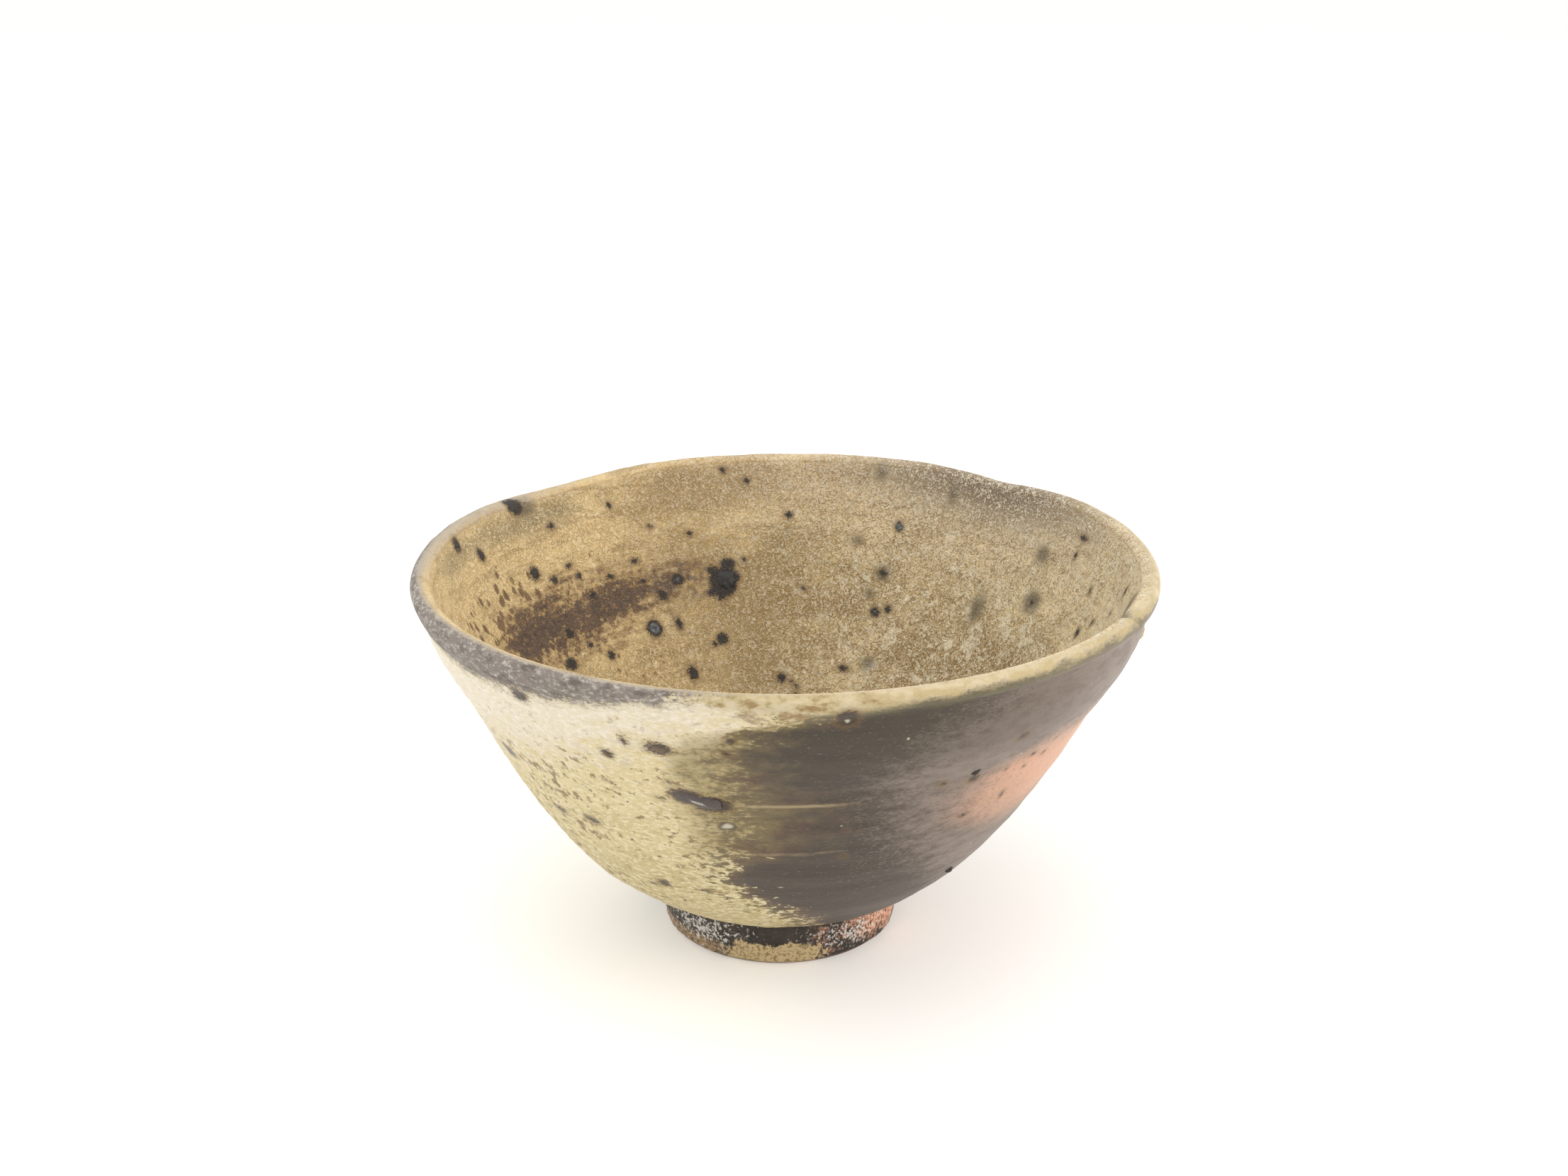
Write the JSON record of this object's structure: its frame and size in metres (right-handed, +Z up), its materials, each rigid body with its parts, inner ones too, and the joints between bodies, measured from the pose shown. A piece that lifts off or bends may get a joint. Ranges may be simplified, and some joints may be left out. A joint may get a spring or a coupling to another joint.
{
  "type": "tea bowl",
  "caption": "Wood-fired stoneware tea bowl with a flared wall, rolled wavy lip, ash-glazed inside and fire side, and a low foot ring.",
  "frame": {"origin": "on the surface that the bowl stands on, under the centre of its mouth", "axes": "+Z up along the axis that the wall was thrown on, -Y towards the front of the picture, +X to its right"},
  "size_m": [0.1248, 0.1248, 0.067],
  "materials": {
    "stoneware": "satin bare stoneware, flashed salmon on one side",
    "foot_clay": "crusty bare stoneware with fused grit",
    "inside_glaze": "matt ochre ash glaze with dark specks",
    "lip_glaze": "matt grey to cream rolled glaze",
    "ash_glaze": "dry khaki fly-ash glaze",
    "cinder": "fused black cinder"
  },
  "bodies": {
    "root": {"bowl_wall": "stoneware", "foot_ring": "foot_clay", "inside_glaze": "inside_glaze", "lip_glaze": "lip_glaze", "ash_glaze": "ash_glaze", "cinder_inside": "cinder", "cinder_front": "cinder", "cinder_shoulder": "cinder", "crumb_left": "cinder", "crumb_right": "cinder", "nub_right": "cinder", "lip_bump": "lip_glaze"}
  },
  "joints": []
}
